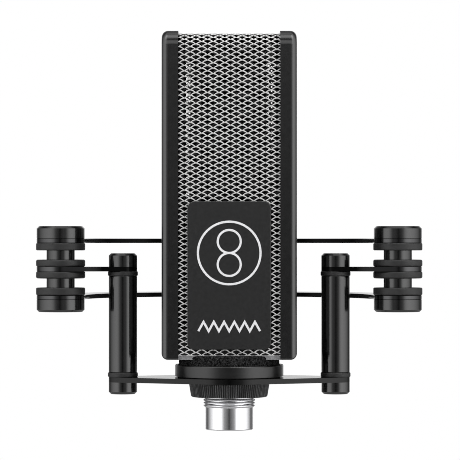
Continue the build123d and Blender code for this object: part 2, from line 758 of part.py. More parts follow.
with BuildPart() as xlr_shell:
    with BuildSketch(facing(0)):
        with BuildLine():
            Polyline(*neck_outline(), close=True)
        make_face()
    revolve(axis=MIC_AXIS)
xlr_shell.part.label = "xlr_shell"
export_step(xlr_shell.part, "parts/xlr_shell.step")

PIN_SPOTS = [(PIN_CIRCLE_R * cos(radians(a)), PIN_CIRCLE_R * sin(radians(a))) for a in PIN_ANGLES]

with BuildPart() as xlr_insert:
    with BuildSketch(level(XLR_INSERT_BOTTOM)):
        Circle(XLR_BORE_R)
        with Locations(*PIN_SPOTS):
            Circle(PIN_R, mode=Mode.SUBTRACT)
    extrude(amount=XLR_INSERT_TOP - XLR_INSERT_BOTTOM)
xlr_insert.part.label = "xlr_insert"
export_step(xlr_insert.part, "parts/xlr_insert.step")

with BuildPart() as xlr_pins:
    with BuildSketch(level(PIN_TIP)):
        with Locations(*PIN_SPOTS):
            Circle(PIN_R)
    extrude(amount=PIN_CUP - PIN_TIP)
    fillet(xlr_pins.edges().group_by(Axis.Z)[0], PIN_ROUND)
xlr_pins.part.label = "xlr_pins"
export_step(xlr_pins.part, "parts/xlr_pins.step")

with BuildPart() as foam_pad:
    with BuildSketch(level(FOAM_BOTTOM)):
        Circle(FOAM_R)
    extrude(amount=FOAM_LIP_TOP - FOAM_BOTTOM)
    fillet(foam_pad.edges().group_by(Axis.Z)[-1], FOAM_ROUND)
    with BuildSketch(level(BLOCK_BOTTOM)):
        Rectangle(3 * FOAM_R, BLOCK_DEPTH)
    extrude(amount=FOAM_LIP_TOP, mode=Mode.SUBTRACT)
    with BuildSketch(level(FOAM_BOTTOM)):
        Circle(NECK_R)
    extrude(amount=FOAM_LIP_TOP, mode=Mode.SUBTRACT)
foam_pad.part.label = "foam_pad"
export_step(foam_pad.part, "parts/foam_pad.step")

with BuildPart() as ring_nut:
    with BuildSketch(facing(0)):
        with BuildLine():
            Polyline(
                (NECK_R + CLEARANCE, BAR_BOTTOM),
                (NUT_TOP_R, BAR_BOTTOM),
                (NUT_BOTTOM_R, BAR_BOTTOM - NUT_H),
                (NECK_R + CLEARANCE, BAR_BOTTOM - NUT_H),
                close=True,
            )
        make_face()
    revolve(axis=MIC_AXIS)
    nut_foot = ring_nut.edges().group_by(Axis.Z)[0].sort_by(SortBy.RADIUS)[-1]
    fillet(nut_foot, NUT_ROUND)
ring_nut.part.label = "ring_nut"
export_step(ring_nut.part, "parts/ring_nut.step")

# ================================================================ microphone: ribbon motor
with BuildPart() as chassis_plate:
    with BuildSketch(facing(CHASSIS_Y + CHASSIS_T)):
        with Locations((0, BLOCK_TOP)):
            Rectangle(CHASSIS_W, CROSSBAR_BOTTOM - BLOCK_TOP, align=(Align.CENTER, Align.MIN))
        with Locations((0, MOTOR_Z)):
            SlotOverall(SLOT_L, SLOT_W, rotation=90, mode=Mode.SUBTRACT)
        with Locations((-MOTOR_SCREW_X, MOTOR_Z), (MOTOR_SCREW_X, MOTOR_Z)):
            with Locations((0, -MOTOR_SCREW_Z), (0, MOTOR_SCREW_Z)):
                Circle(MOTOR_SCREW_R, mode=Mode.SUBTRACT)
    extrude(amount=CHASSIS_T)
    for bottom in (BLOCK_TOP, CROSSBAR_BOTTOM - FLANGE_T):
        with BuildSketch(level(bottom)):
            with Locations((0, CHASSIS_Y)):
                Rectangle(CHASSIS_W, FLANGE_DEPTH, align=(Align.CENTER, Align.MIN))
        extrude(amount=FLANGE_T)
    with BuildSketch(level(BLOCK_TOP)):
        with Locations((0, LEAD_RISE_Y)):
            Rectangle(*FLANGE_WINDOW)
    extrude(amount=FLANGE_T, mode=Mode.SUBTRACT)
chassis_plate.part.label = "chassis_plate"
export_step(chassis_plate.part, "parts/chassis_plate.step")

for side, hand in ((-1, "left"), (1, "right")):
    with BuildPart() as pole_piece:
        with BuildSketch(level(MOTOR_Z - POLE_H / 2)):
            with BuildLine():
                Polyline(
                    (side * POLE_GAP / 2, -POLE_DEPTH / 2 + POLE_TAPER),
                    (side * (POLE_GAP / 2 + POLE_TAPER), -POLE_DEPTH / 2),
                    (side * (POLE_GAP / 2 + POLE_W), -POLE_DEPTH / 2),
                    (side * (POLE_GAP / 2 + POLE_W), POLE_DEPTH / 2),
                    (side * (POLE_GAP / 2 + POLE_TAPER), POLE_DEPTH / 2),
                    (side * POLE_GAP / 2, POLE_DEPTH / 2 - POLE_TAPER),
                    close=True,
                )
            make_face()
        extrude(amount=POLE_H)
    pole_piece.part.label = f"pole_piece_{hand}"
    export_step(pole_piece.part, f"parts/pole_piece_{hand}.step")

    with BuildPart() as magnet:
        with BuildSketch(level(MOTOR_Z - MAGNET_H / 2)):
            with Locations((side * MOTOR_SCREW_X, 0)):
                Rectangle(MAGNET_W, POLE_DEPTH)
        extrude(amount=MAGNET_H)
        with BuildSketch(facing(0)):
            with Locations(
                (side * MOTOR_SCREW_X, MOTOR_Z - MOTOR_SCREW_Z),
                (side * MOTOR_SCREW_X, MOTOR_Z + MOTOR_SCREW_Z),
            ):
                Circle(MOTOR_SCREW_R)
        extrude(amount=POLE_DEPTH, both=True, mode=Mode.SUBTRACT)
    magnet.part.label = f"magnet_{hand}"
    export_step(magnet.part, f"parts/magnet_{hand}.step")

with BuildPart() as motor_screws:
    with BuildSketch(facing(CHASSIS_Y + CHASSIS_T)):
        with Locations((-MOTOR_SCREW_X, MOTOR_Z), (MOTOR_SCREW_X, MOTOR_Z)):
            with Locations((0, -MOTOR_SCREW_Z), (0, MOTOR_SCREW_Z)):
                Circle(MOTOR_SCREW_R)
    extrude(amount=CHASSIS_T + POLE_DEPTH)
    with BuildSketch(facing(-POLE_DEPTH / 2)):
        with Locations((-MOTOR_SCREW_X, MOTOR_Z), (MOTOR_SCREW_X, MOTOR_Z)):
            with Locations((0, -MOTOR_SCREW_Z), (0, MOTOR_SCREW_Z)):
                Circle(2 * MOTOR_SCREW_R)
    extrude(amount=MOTOR_HEAD_H)
motor_screws.part.label = "motor_screws"
export_step(motor_screws.part, "parts/motor_screws.step")


def ribbon_outline():
    """Side section of the corrugated foil: a zigzag down one face and back up the other."""
    folds = int(RIBBON_H / CORRUGATION_PITCH * 2)
    start = MOTOR_Z - folds * CORRUGATION_PITCH / 4
    depth = CORRUGATION_DEPTH / 2
    front = [(-depth if n % 2 else depth, start + n * CORRUGATION_PITCH / 2) for n in range(folds + 1)]
    back = [(y + RIBBON_T, z) for y, z in reversed(front)]
    return front + back


with BuildPart() as ribbon:
    with BuildSketch(upright(0)):
        with BuildLine():
            Polyline(*ribbon_outline(), close=True)
        make_face()
    extrude(amount=RIBBON_W / 2, both=True)
ribbon.part.label = "ribbon"
export_step(ribbon.part, "parts/ribbon.step")

CLAMP_LEVELS = [MOTOR_Z - POLE_H / 2 - CLAMP_H, MOTOR_Z + POLE_H / 2]
CLAMP_FACE = CORRUGATION_DEPTH / 2 + RIBBON_T

with BuildPart() as ribbon_clamps:
    for bottom in CLAMP_LEVELS:
        with BuildSketch(facing(-CLAMP_FACE)):
            with Locations((0, bottom + CLAMP_H / 2)):
                Rectangle(CLAMP_W, CLAMP_H)
            with Locations((-CLAMP_SCREW_X, bottom + CLAMP_H / 2), (CLAMP_SCREW_X, bottom + CLAMP_H / 2)):
                Circle(CLAMP_SCREW_R, mode=Mode.SUBTRACT)
        extrude(amount=CLAMP_T)
ribbon_clamps.part.label = "ribbon_clamps"
export_step(ribbon_clamps.part, "parts/ribbon_clamps.step")

with BuildPart() as clamp_insulators:
    for bottom in CLAMP_LEVELS:
        with BuildSketch(facing(CHASSIS_Y)):
            with Locations((0, bottom + CLAMP_H / 2)):
                Rectangle(CLAMP_W, CLAMP_H)
            with Locations((-CLAMP_SCREW_X, bottom + CLAMP_H / 2), (CLAMP_SCREW_X, bottom + CLAMP_H / 2)):
                Circle(CLAMP_SCREW_R, mode=Mode.SUBTRACT)
        extrude(amount=CHASSIS_Y - CLAMP_FACE)
clamp_insulators.part.label = "clamp_insulators"
export_step(clamp_insulators.part, "parts/clamp_insulators.step")

with BuildPart() as clamp_screws:
    for bottom in CLAMP_LEVELS:
        with BuildSketch(facing(CHASSIS_Y)):
            with Locations((-CLAMP_SCREW_X, bottom + CLAMP_H / 2), (CLAMP_SCREW_X, bottom + CLAMP_H / 2)):
                Circle(CLAMP_SCREW_R)
        extrude(amount=CHASSIS_Y + CLAMP_FACE + CLAMP_T)
        with BuildSketch(facing(-CLAMP_FACE - CLAMP_T)):
            with Locations((-CLAMP_SCREW_X, bottom + CLAMP_H / 2), (CLAMP_SCREW_X, bottom + CLAMP_H / 2)):
                Circle(2 * CLAMP_SCREW_R)
        extrude(amount=CLAMP_HEAD_H)
clamp_screws.part.label = "clamp_screws"
export_step(clamp_screws.part, "parts/clamp_screws.step")

# ================================================================ microphone: transformer
CORE_BACK = CORE_FRONT + CORE_DEPTH
WINDOW_X = CORE_LEG / 2 + WINDOW_W / 2

with BuildPart() as transformer_core:
    with BuildSketch(facing(CORE_BACK)):
        with Locations((0, COIL_Z)):
            Rectangle(CORE_W, CORE_H)
        with Locations((-WINDOW_X, COIL_Z), (WINDOW_X, COIL_Z)):
            Rectangle(WINDOW_W, WINDOW_H, mode=Mode.SUBTRACT)
    extrude(amount=CORE_DEPTH)
transformer_core.part.label = "transformer_core"
export_step(transformer_core.part, "parts/transformer_core.step")

with BuildPart() as transformer_coil:
    with BuildSketch(level(COIL_Z - WINDOW_H / 2)):
        with Locations((0, CORE_FRONT + CORE_DEPTH / 2)):
            RectangleRounded(CORE_LEG + 2 * WINDOW_W, CORE_DEPTH + 2 * COIL_OVERHANG, COIL_ROUND)
            Rectangle(CORE_LEG, CORE_DEPTH, mode=Mode.SUBTRACT)
    extrude(amount=WINDOW_H)
transformer_coil.part.label = "transformer_coil"
export_step(transformer_coil.part, "parts/transformer_coil.step")

with BuildPart() as transformer_bracket:
    for bottom in (COIL_Z + CORE_H / 2, COIL_Z - CORE_H / 2 - BRACKET_T):
        with BuildSketch(level(bottom)):
            with Locations((0, CHASSIS_Y)):
                Rectangle(CORE_W, CHASSIS_Y - CORE_FRONT, align=(Align.CENTER, Align.MAX))
        extrude(amount=BRACKET_T)
transformer_bracket.part.label = "transformer_bracket"
export_step(transformer_bracket.part, "parts/transformer_bracket.step")

# ================================================================ microphone: circuit board
STANDOFF_SPOTS = [
    (x, BOARD_Z + z) for x in (-STANDOFF_X, STANDOFF_X) for z in (-STANDOFF_Z, STANDOFF_Z)
]

with BuildPart() as circuit_board:
    with BuildSketch(facing(BOARD_Y + BOARD_T)):
        with Locations((0, BOARD_Z)):
            Rectangle(BOARD_W, BOARD_H)
    extrude(amount=BOARD_T)
circuit_board.part.label = "circuit_board"
export_step(circuit_board.part, "parts/circuit_board.step")

with BuildPart() as board_standoffs:
    with BuildSketch(facing(BOARD_Y)):
        with Locations(*STANDOFF_SPOTS):
            Circle(STANDOFF_R)
    extrude(amount=BOARD_Y - CHASSIS_Y - CHASSIS_T)
board_standoffs.part.label = "board_standoffs"
export_step(board_standoffs.part, "parts/board_standoffs.step")

BOARD_BACK = BOARD_Y + BOARD_T
CAPACITOR_SPOTS = [(step * CAPACITOR_PITCH, BOARD_Z - CAPACITOR_DROP) for step in (-1, 0, 1)]
TRANSISTOR_SPOTS = [(step * TRANSISTOR_PITCH, BOARD_Z + TRANSISTOR_RISE) for step in (-1, 0, 1)]

with BuildPart() as capacitors:
    with BuildSketch(facing(BOARD_BACK + CAPACITOR[1])):
        with Locations(*CAPACITOR_SPOTS):
            RectangleRounded(CAPACITOR[0], CAPACITOR[2], CAPACITOR_ROUND)
    extrude(amount=CAPACITOR[1])
capacitors.part.label = "capacitors"
export_step(capacitors.part, "parts/capacitors.step")

with BuildPart() as transistors:
    with BuildSketch(facing(BOARD_BACK + TRANSISTOR_R)):
        with Locations(*TRANSISTOR_SPOTS):
            Circle(TRANSISTOR_R)
    extrude(amount=TRANSISTOR_R)
transistors.part.label = "transistors"
export_step(transistors.part, "parts/transistors.step")


def lead(points, radius):
    """Round wire along straight runs with tangent bends."""
    with BuildPart() as wire:
        with BuildLine() as path:
            FilletPolyline(*points, radius=radius)
        with BuildSketch(Plane(path.line @ 0, z_dir=path.line % 0)):
            Circle(LEAD_R)
        sweep()
    return wire


CLAMP_LEAD_Y = MIC_Y - CLAMP_FACE - CLAMP_T / 2
COIL_LEAD_Y = MIC_Y + CORE_FRONT - COIL_OVERHANG / 2
BOARD_LEAD_Z = BOARD_Z - BOARD_H / 4
LEAD_TURN_LOW = SPIGOT_TOP + PIN_LEAD_BEND
LEAD_TURN_HIGH = BLOCK_TOP - PIN_LEAD_BEND

wires = []
for side, bottom in ((1, CLAMP_LEVELS[1]), (-1, CLAMP_LEVELS[0])):
    route = [
        (side * CLAMP_W / 2, CLAMP_LEAD_Y, bottom + CLAMP_H / 2),
        (side * LEAD_SIDE_X, CLAMP_LEAD_Y, bottom + CLAMP_H / 2),
        (side * LEAD_SIDE_X, CLAMP_LEAD_Y, COIL_Z),
        (side * LEAD_SIDE_X, COIL_LEAD_Y, COIL_Z),
        (side * (CORE_LEG / 2 + WINDOW_W), COIL_LEAD_Y, COIL_Z),
    ]
    wires.append(lead(route, LEAD_BEND))
for spot in PIN_SPOTS[:2]:
    route = [
        (spot[0], MIC_Y + spot[1], PIN_CUP),
        (spot[0], MIC_Y + spot[1], LEAD_TURN_LOW),
        (spot[0], MIC_Y + LEAD_RISE_Y, LEAD_TURN_HIGH),
        (spot[0], MIC_Y + LEAD_RISE_Y, BOARD_LEAD_Z),
    ]
    wires.append(lead(route, PIN_LEAD_BEND))

with BuildPart() as internal_leads:
    for wire in wires:
        add(wire.part)
internal_leads.part.label = "internal_leads"
export_step(internal_leads.part, "parts/internal_leads.step")
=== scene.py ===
"""Looks of a ribbon microphone in a shock mount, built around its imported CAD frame."""

import math

import bpy
import bmesh
from mathutils import Matrix, Vector, noise


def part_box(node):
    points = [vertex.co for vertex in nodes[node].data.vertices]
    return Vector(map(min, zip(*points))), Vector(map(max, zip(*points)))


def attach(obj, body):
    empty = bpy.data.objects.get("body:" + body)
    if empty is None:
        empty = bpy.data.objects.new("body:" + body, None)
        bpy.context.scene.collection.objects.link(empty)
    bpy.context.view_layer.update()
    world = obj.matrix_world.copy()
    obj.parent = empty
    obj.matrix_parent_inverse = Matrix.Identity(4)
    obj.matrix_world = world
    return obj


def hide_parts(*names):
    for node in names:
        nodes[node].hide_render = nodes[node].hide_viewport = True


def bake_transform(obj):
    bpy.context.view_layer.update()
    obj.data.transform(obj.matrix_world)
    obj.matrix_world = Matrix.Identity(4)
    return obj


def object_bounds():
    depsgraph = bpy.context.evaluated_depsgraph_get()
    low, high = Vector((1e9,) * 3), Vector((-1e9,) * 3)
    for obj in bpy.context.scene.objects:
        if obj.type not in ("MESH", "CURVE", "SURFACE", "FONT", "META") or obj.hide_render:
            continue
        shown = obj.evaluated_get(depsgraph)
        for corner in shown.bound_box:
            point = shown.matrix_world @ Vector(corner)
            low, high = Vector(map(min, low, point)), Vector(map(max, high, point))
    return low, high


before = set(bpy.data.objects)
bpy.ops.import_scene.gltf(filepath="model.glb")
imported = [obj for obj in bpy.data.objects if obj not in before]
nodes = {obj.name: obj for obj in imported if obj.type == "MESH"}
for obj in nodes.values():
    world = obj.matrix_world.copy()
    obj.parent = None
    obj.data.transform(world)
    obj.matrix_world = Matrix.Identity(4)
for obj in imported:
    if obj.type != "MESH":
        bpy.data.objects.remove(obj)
cad_low, cad_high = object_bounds()

MM = 0.001
BASE_EDGE = 0.1 * MM


# ---------------------------------------------------------------- places read from the frame
def centre(name):
    """Middle of a CAD node's box."""
    low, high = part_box(name)
    return (low + high) / 2


grille_low, grille_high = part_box("outer_grille")
link_z = centre("link_arm_left").z
mic_y = centre("outer_grille").y


# ---------------------------------------------------------------- node helpers
# Sockets of a Mix node of colours: the share, the colour at 0, the colour at 1, and the result.
COLOUR_SHARE, COLOUR_AT_0, COLOUR_AT_1, COLOUR_RESULT = 0, 6, 7, 2
# Sockets of a Mix node of numbers, in the same order.
NUMBER_SHARE, NUMBER_AT_0, NUMBER_AT_1, NUMBER_RESULT = 0, 2, 3, 0


def new_material(name):
    """Material with an empty node tree but for its shader."""
    material = bpy.data.materials.new(name)
    material.use_nodes = True
    tree = material.node_tree
    shader = tree.nodes["Principled BSDF"]
    return material, tree, shader


def add_node(tree, kind, **settings):
    """Node of the given kind, with its properties or input values set."""
    node = tree.nodes.new(kind)
    for key, value in settings.items():
        if key in node.inputs:
            node.inputs[key].default_value = value
        else:
            setattr(node, key, value)
    return node


def combined(tree, operation, *values):
    """Output of one sum on values, each of them a socket or a plain number."""
    node = add_node(tree, "ShaderNodeMath", operation=operation)
    for place, value in zip(node.inputs, values):
        if isinstance(value, (int, float)):
            place.default_value = value
        else:
            tree.links.new(value, place)
    return node.outputs["Value"]


def object_position(tree):
    """Output with the surface's place in the object's own metres."""
    return add_node(tree, "ShaderNodeTexCoord").outputs["Object"]


def scaled_position(tree, scale):
    """Object position stretched by a factor for each axis."""
    mapping = add_node(tree, "ShaderNodeMapping")
    mapping.inputs["Scale"].default_value = scale
    tree.links.new(object_position(tree), mapping.inputs["Vector"])
    return mapping.outputs["Vector"]


def separated(tree, vector):
    """X, Y and Z outputs of a vector."""
    parts = add_node(tree, "ShaderNodeSeparateXYZ")
    tree.links.new(vector, parts.inputs["Vector"])
    return parts.outputs


def noise_value(tree, position, scale, detail=3.0, roughness=0.5):
    """Noise between 0 and 1 at the given scale, in cycles for each metre."""
    texture = add_node(tree, "ShaderNodeTexNoise", Scale=scale, Detail=detail, Roughness=roughness)
    tree.links.new(position, texture.inputs["Vector"])
    return texture.outputs["Fac"]


def mapped(tree, value, low, high, start=0, end=1):
    """Value from start to end spread over low to high."""
    spread = add_node(tree, "ShaderNodeMapRange")
    spread.inputs["From Min"].default_value = start
    spread.inputs["From Max"].default_value = end
    spread.inputs["To Min"].default_value = low
    spread.inputs["To Max"].default_value = high
    tree.links.new(value, spread.inputs["Value"])
    return spread.outputs["Result"]


def colour_blend(tree, value, first, second, start=0.3, end=0.7):
    """Colour between first and second, by a value from start to end."""
    ramp = add_node(tree, "ShaderNodeValToRGB")
    ramp.color_ramp.elements[0].color = (*first, 1)
    ramp.color_ramp.elements[1].color = (*second, 1)
    ramp.color_ramp.elements[0].position = start
    ramp.color_ramp.elements[1].position = end
    tree.links.new(value, ramp.inputs["Fac"])
    return ramp.outputs["Color"]


def add_bump(tree, shader, height, strength, distance):
    """Surface relief from a height value, chained after any earlier relief."""
    bump = add_node(tree, "ShaderNodeBump", Strength=strength, Distance=distance)
    tree.links.new(height, bump.inputs["Height"])
    earlier = shader.inputs["Normal"].links
    if earlier:
        tree.links.new(earlier[0].from_socket, bump.inputs["Normal"])
    tree.links.new(bump.outputs["Normal"], shader.inputs["Normal"])


# ---------------------------------------------------------------- surface finishes
# Scale of the broad mottling, as a part of the fine grain's scale.
BROAD_GRAIN = 0.12
GRAIN_RELIEF = 0.1 * MM
# Height of the ridges' cosine wave where the painted groove shade is darkest, and where it ends.
GROOVE_WAVE = -0.2
RIDGE_WAVE = 0.8


def finish_material(
    name, first, second, metallic, rough_low, rough_high, grain, relief, stretch=(1, 1, 1), specular=0.5
):
    """Surface with two mottled colours, uneven gloss and a fine grain of the given relief.

    grain is in cycles for each metre, and stretch scales it along each axis."""
    material, tree, shader = new_material(name)
    position = scaled_position(tree, stretch)
    broad = noise_value(tree, position, grain * BROAD_GRAIN)
    fine = noise_value(tree, position, grain)
    tree.links.new(colour_blend(tree, broad, first, second), shader.inputs["Base Color"])
    tree.links.new(mapped(tree, broad, rough_low, rough_high), shader.inputs["Roughness"])
    shader.inputs["Metallic"].default_value = metallic
    shader.inputs["Specular IOR Level"].default_value = specular
    add_bump(tree, shader, fine, relief, GRAIN_RELIEF)
    return material


def grey(level):
    """Neutral colour with a trace of blue."""
    return (level, level, level * 1.02)


def finish_parts(material):
    """Tree, shader and object position of a finished material."""
    tree = material.node_tree
    return tree, tree.nodes["Principled BSDF"], separated(tree, object_position(tree))


def cover(tree, shader, share, colour):
    """Lays a plain colour over a surface's own, fully where share is 1."""
    mix = add_node(tree, "ShaderNodeMix", data_type="RGBA")
    tree.links.new(share, mix.inputs[COLOUR_SHARE])
    tree.links.new(shader.inputs["Base Color"].links[0].from_socket, mix.inputs[COLOUR_AT_0])
    mix.inputs[COLOUR_AT_1].default_value = (*colour, 1)
    tree.links.new(mix.outputs[COLOUR_RESULT], shader.inputs["Base Color"])


def mask_by_height(material, height, colour):
    """Leaves bare metal up to a height, and paints the surface above it in a plain colour."""
    tree, shader, place = finish_parts(material)
    above = combined(tree, "GREATER_THAN", place["Z"], height)
    cover(tree, shader, above, colour)
    tree.links.new(combined(tree, "SUBTRACT", 1, above), shader.inputs["Metallic"])


def paint_groove_shade(material, middle, count, colour):
    """Paints shade into a knurled wall's grooves, by the angle round its upright axis."""
    tree, shader, place = finish_parts(material)
    sideways = combined(tree, "SUBTRACT", place["X"], middle[0])
    forward = combined(tree, "SUBTRACT", middle[1], place["Y"])
    angle = combined(tree, "ARCTAN2", sideways, forward)
    wave = combined(tree, "COSINE", combined(tree, "MULTIPLY", angle, count))
    cover(tree, shader, mapped(tree, wave, 1, 0, GROOVE_WAVE, RIDGE_WAVE), colour)


def dull_foot(material, height):
    """Makes the part of a surface below a height fully matt."""
    tree, shader, place = finish_parts(material)
    below = combined(tree, "LESS_THAN", place["Z"], height)
    gloss = shader.inputs["Roughness"].links[0].from_socket
    tree.links.new(combined(tree, "MAXIMUM", below, gloss), shader.inputs["Roughness"])


def polish_by_reach(material, start, end, colour):
    """Turns a surface into dark polished metal between start and end from the middle plane."""
    tree, shader, place = finish_parts(material)
    share = mapped(tree, combined(tree, "ABSOLUTE", place["X"]), 0, 1, start, end)
    cover(tree, shader, share, colour)
    tree.links.new(share, shader.inputs["Metallic"])


def paint(names, material):
    """Gives CAD nodes one material."""
    for name in names:
        mesh = nodes[name].data
        mesh.materials.clear()
        mesh.materials.append(material)


# ---------------------------------------------------------------- materials
# After the colours come metallic, lowest and highest roughness, grain and relief.
RING_FOOT_H = 0.42 * MM
POLISH_START = 50 * MM
POLISH_END = 57 * MM
rail_black = finish_material(
    "rail_satin_black", grey(0.008), grey(0.011), 0.0, 0.16, 0.22, 5000, 0.08, specular=1.0
)
mount_black = finish_material(
    "mount_satin_black", grey(0.002), grey(0.004), 0.0, 0.12, 0.17, 4000, 0.05, specular=1.0
)
plate_black = finish_material(
    "plate_satin_black", grey(0.001), grey(0.003), 0.0, 0.12, 0.17, 4000, 0.05, specular=0.08
)
polish_by_reach(plate_black, POLISH_START, POLISH_END, grey(0.08))
bar_black = finish_material(
    "bar_satin_black", grey(0.001), grey(0.002), 0.0, 0.14, 0.20, 4000, 0.05, specular=0.32
)
ring_black = finish_material(
    "ring_satin_black", grey(0.001), grey(0.003), 0.0, 0.28, 0.34, 4000, 0.05, specular=0.75
)
dull_foot(ring_black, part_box("base_ring")[0].z + RING_FOOT_H)
badge_black = finish_material(
    "badge_enamel", grey(0.013), grey(0.018), 0.0, 0.26, 0.34, 6000, 0.12, specular=0.8
)
rubber_black = finish_material("rubber", grey(0.008), grey(0.018), 0.0, 0.46, 0.58, 3000, 0.45, specular=0.6)
knob_black = finish_material("moulded_grip", grey(0.014), grey(0.020), 0.0, 0.45, 0.55, 2500, 0.25)
black_oxide = finish_material("black_oxide", grey(0.02), grey(0.03), 0.6, 0.35, 0.45, 3000, 0.1)
nut_black = finish_material(
    "nut_matte_black", grey(0.03), grey(0.20), 0.0, 0.34, 0.46, 4000, 0.3, (1, 1, 0.02), 0.4
)
# Nickel strands as a near-white non-metal: the colour is a painted sheen that stands in for the nickel's
# reflections.
nickel_painted_sheen = finish_material(
    "grille_nickel", (0.95, 0.95, 0.94), (0.99, 0.99, 0.98), 0.0, 0.30, 0.42, 2500, 0.05, specular=1.0
)
screen_steel = finish_material(
    "screen_steel", grey(0.003), grey(0.060), 0.0, 0.45, 0.6, 3000, 0.1, specular=0.2
)
# Near-black matt sheet that stands in for the shade inside the grille: painted shade.
shade_sheet_black = finish_material(
    "painted_shade_cloth", grey(0.001), grey(0.002), 0.0, 0.9, 1.0, 6000, 0.3, specular=0.0
)
blasted = finish_material("base_blasted_silver", grey(0.42), grey(0.55), 0.5, 0.45, 0.6, 5000, 0.5)
mask_by_height(blasted, grille_low.z + BASE_EDGE, grey(0.004))
emblem_silver = finish_material("emblem_silver", grey(0.90), grey(0.96), 0.0, 0.42, 0.5, 5000, 0.05)
chrome = finish_material("connector_chrome", grey(0.84), grey(0.88), 1.0, 0.12, 0.18, 900, 0.02)
milled = finish_material("milled_aluminium", grey(0.45), grey(0.52), 1.0, 0.35, 0.5, 3000, 0.2, (1, 1, 0.05))
ground_steel = finish_material(
    "ground_steel", grey(0.40), grey(0.48), 1.0, 0.25, 0.4, 3000, 0.15, (0.1, 1, 1)
)
plated_steel = finish_material("plated_steel", grey(0.50), grey(0.60), 1.0, 0.22, 0.32, 2000, 0.08)
magnet_nickel = finish_material("magnet_nickel", grey(0.55), grey(0.62), 1.0, 0.15, 0.25, 1500, 0.05)
foil = finish_material("ribbon_foil", grey(0.80), grey(0.88), 1.0, 0.18, 0.3, 2500, 0.1)
brass = finish_material(
    "machined_brass", (0.58, 0.40, 0.16), (0.66, 0.47, 0.20), 1.0, 0.22, 0.34, 2500, 0.1
)
fibre = finish_material(
    "fibre_board", (0.20, 0.10, 0.045), (0.27, 0.14, 0.065), 0.0, 0.6, 0.75, 1800, 0.4
)
washer_fibre = finish_material("washer_fibre", grey(0.06), grey(0.09), 0.0, 0.65, 0.8, 2500, 0.4)
core_iron = finish_material(
    "laminated_steel", grey(0.12), grey(0.2), 0.9, 0.4, 0.55, 2500, 0.3, (0.05, 4, 0.05)
)
copper = finish_material(
    "coil_winding", (0.50, 0.19, 0.07), (0.62, 0.27, 0.10), 0.9, 0.25, 0.4, 2200, 0.6, (0.1, 0.1, 3)
)
board_green = finish_material(
    "solder_mask", (0.01, 0.09, 0.035), (0.015, 0.12, 0.05), 0.0, 0.25, 0.4, 1200, 0.1
)
capacitor_red = finish_material(
    "capacitor_case", (0.36, 0.03, 0.02), (0.42, 0.045, 0.03), 0.0, 0.2, 0.35, 1500, 0.1
)
moulded_black = finish_material("moulded_black", grey(0.015), grey(0.022), 0.0, 0.35, 0.5, 3000, 0.2)
insulation = finish_material(
    "wire_insulation", (0.02, 0.021, 0.024), (0.03, 0.031, 0.035), 0.0, 0.35, 0.5, 2000, 0.15
)
pin_silver = finish_material(
    "pin_silver", (0.66, 0.63, 0.56), (0.74, 0.71, 0.63), 1.0, 0.15, 0.25, 1500, 0.05
)

paint(["side_rail_left", "side_rail_right"], rail_black)
paint(["post_tube_left", "post_tube_right", "post_top_caps", "post_bottom_caps"], mount_black)
paint(["spool_caps", "spool_spacers", "swivel_block", "stand_socket"], mount_black)
paint(["link_arm_left", "link_arm_right", "upper_frame_plate", "lower_frame_plate"], plate_black)
paint(["cradle_bar"], bar_black)
paint(["base_ring"], ring_black)
paint(["badge_plate"], badge_black)
paint(["outer_rubber_rings", "post_washers"], rubber_black)
paint(["clamp_knob"], knob_black)
paint(["rail_screws", "swivel_screws"], black_oxide)
paint(["base_block"], blasted)
paint(["badge_emblem"], emblem_silver)
paint(["xlr_shell"], chrome)
paint(["chassis_plate", "top_crossbar"], milled)
paint(["pole_piece_left", "pole_piece_right"], ground_steel)
paint(["tilt_bolt", "post_studs", "spool_bolts"], plated_steel)
paint(["motor_screws", "clamp_screws", "transformer_bracket"], plated_steel)
paint(["magnet_left", "magnet_right"], magnet_nickel)
paint(["ribbon"], foil)
paint(["thread_bush", "ribbon_clamps", "board_standoffs"], brass)
paint(["clamp_insulators"], fibre)
paint(["tilt_washers"], washer_fibre)
paint(["transformer_core"], core_iron)
paint(["transformer_coil"], copper)
paint(["circuit_board"], board_green)
paint(["capacitors"], capacitor_red)
paint(["transistors", "xlr_insert"], moulded_black)
paint(["internal_leads"], insulation)
paint(["xlr_pins"], pin_silver)


# ---------------------------------------------------------------- mesh helpers
def make_piece(name, points, faces, material):
    """Smooth mesh object, its points in the frame's metres."""
    mesh = bpy.data.meshes.new(name)
    mesh.from_pydata([tuple(p) for p in points], [], [tuple(f) for f in faces])
    mesh.validate()
    mesh.polygons.foreach_set("use_smooth", [True] * len(mesh.polygons))
    mesh.materials.append(material)
    piece = bpy.data.objects.new(name, mesh)
    bpy.context.scene.collection.objects.link(piece)
    return piece


def lathe_mesh(outline, sides, middle, ripple=None):
    """Points and faces of a closed outline of (radius, height) turned round a vertical axis.

    ripple(index, side) returns how much an outline point's radius changes on a side."""
    points, faces = [], []
    count = len(outline)
    for side in range(sides):
        angle = 2 * math.pi * side / sides
        for index, (radius, height) in enumerate(outline):
            reach = radius + (ripple(index, side) if ripple else 0)
            points.append((middle[0] + reach * math.sin(angle), middle[1] - reach * math.cos(angle), height))
    for side in range(sides):
        start, after = side * count, ((side + 1) % sides) * count
        for index in range(count):
            following = (index + 1) % count
            faces.append((start + index, after + index, after + following, start + following))
    return points, faces


def rounded_ring_outline(inner, outer, low, high, radius, steps=5):
    """Section of a flat ring with its two outer corners rounded."""
    turns = [math.pi / 2 * step / steps for step in range(steps + 1)]
    outline = [(inner, low)]
    for turn in turns:
        outline.append((outer - radius + radius * math.sin(turn), low + radius - radius * math.cos(turn)))
    for turn in turns:
        outline.append((outer - radius + radius * math.cos(turn), high - radius + radius * math.sin(turn)))
    outline.append((inner, high))
    return outline


# ---------------------------------------------------------------- grille of expanded metal
GRILLE_ROLL_R = 6.0 * MM
# How far the sheets reach past the grille's box, under the rails.
SIDE_ROOM = 4 * MM
DIAMOND_W = 4.508 * MM
DIAMOND_ROWS = 131
DIAMOND_COLUMN_X = -17.5 * MM
